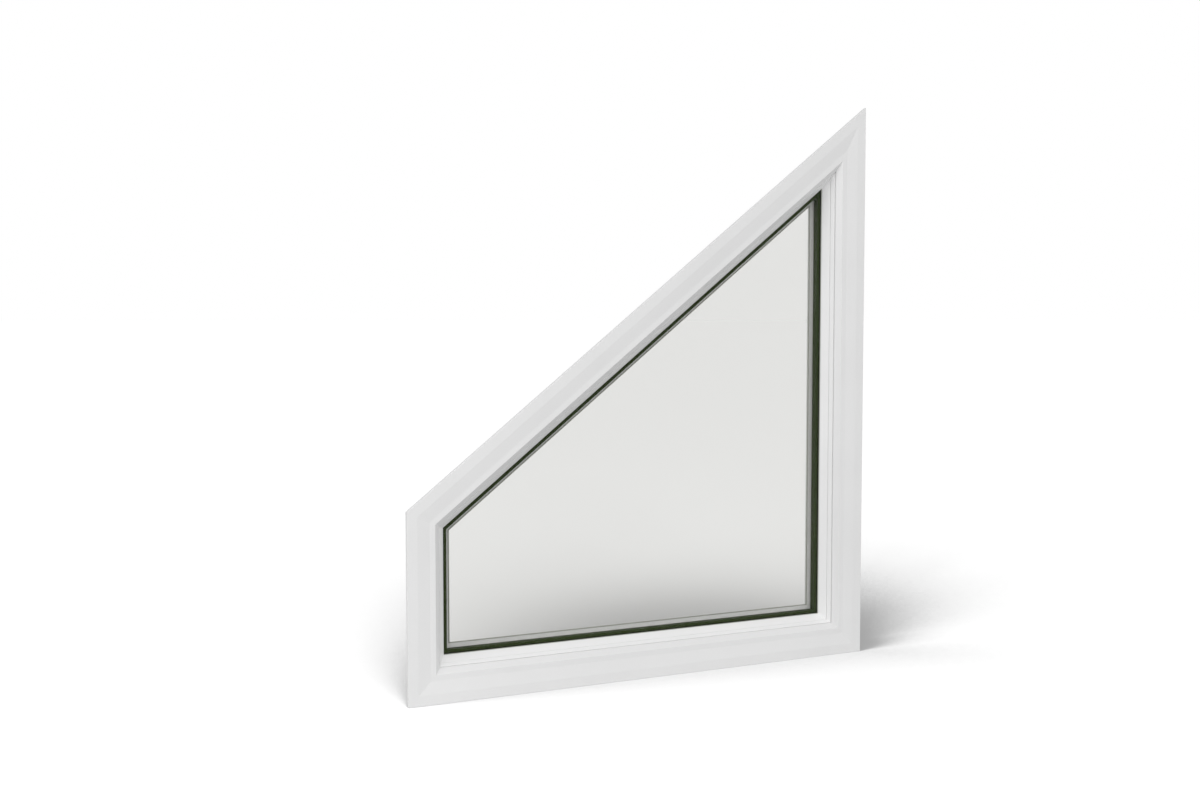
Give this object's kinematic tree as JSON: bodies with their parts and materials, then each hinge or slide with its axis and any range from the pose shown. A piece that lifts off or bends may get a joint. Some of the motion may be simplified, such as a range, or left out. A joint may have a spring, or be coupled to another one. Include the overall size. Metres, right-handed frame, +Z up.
{
  "type": "trapezoid picture window",
  "caption": "Fixed trapezoid window with a raked head: white vinyl frame with mitred brickmould, glazing beads and a sealed double glazed unit.",
  "frame": {"origin": "on the brickmould's back face, which bears on the wall, at mid width of the sill and mid height of that face", "axes": "+X to the right seen from outside, +Y into the building, square to the glass, +Z up"},
  "size_m": [0.914, 0.083, 1.054],
  "materials": {
    "white_vinyl": "extruded, satin",
    "brickmould_vinyl": "extruded, satin",
    "bead_vinyl": "extruded, satin",
    "clear_glass": "polished",
    "grey_gasket": "soft, matt",
    "black_gasket": "soft, matt",
    "black_spacer": "matt",
    "black_sealant": "matt",
    "setting_block": "matt"
  },
  "bodies": {
    "root": {"sill_frame": "white_vinyl", "right_jamb_frame": "white_vinyl", "head_frame": "white_vinyl", "left_jamb_frame": "white_vinyl", "sill_brickmould": "brickmould_vinyl", "right_jamb_brickmould": "brickmould_vinyl", "head_brickmould": "brickmould_vinyl", "left_jamb_brickmould": "brickmould_vinyl", "sill_glazing_bead": "bead_vinyl", "right_jamb_glazing_bead": "bead_vinyl", "head_glazing_bead": "bead_vinyl", "left_jamb_glazing_bead": "bead_vinyl", "sill_outer_gasket": "grey_gasket", "right_jamb_outer_gasket": "grey_gasket", "head_outer_gasket": "grey_gasket", "left_jamb_outer_gasket": "grey_gasket", "sill_inner_gasket": "black_gasket", "right_jamb_inner_gasket": "black_gasket", "head_inner_gasket": "black_gasket", "left_jamb_inner_gasket": "black_gasket", "sill_spacer_bar": "black_spacer", "right_jamb_spacer_bar": "black_spacer", "head_spacer_bar": "black_spacer", "left_jamb_spacer_bar": "black_spacer", "sill_edge_sealant": "black_sealant", "right_jamb_edge_sealant": "black_sealant", "head_edge_sealant": "black_sealant", "left_jamb_edge_sealant": "black_sealant", "outer_pane": "clear_glass", "inner_pane": "clear_glass", "left_setting_block": "setting_block", "right_setting_block": "setting_block"}
  },
  "joints": []
}
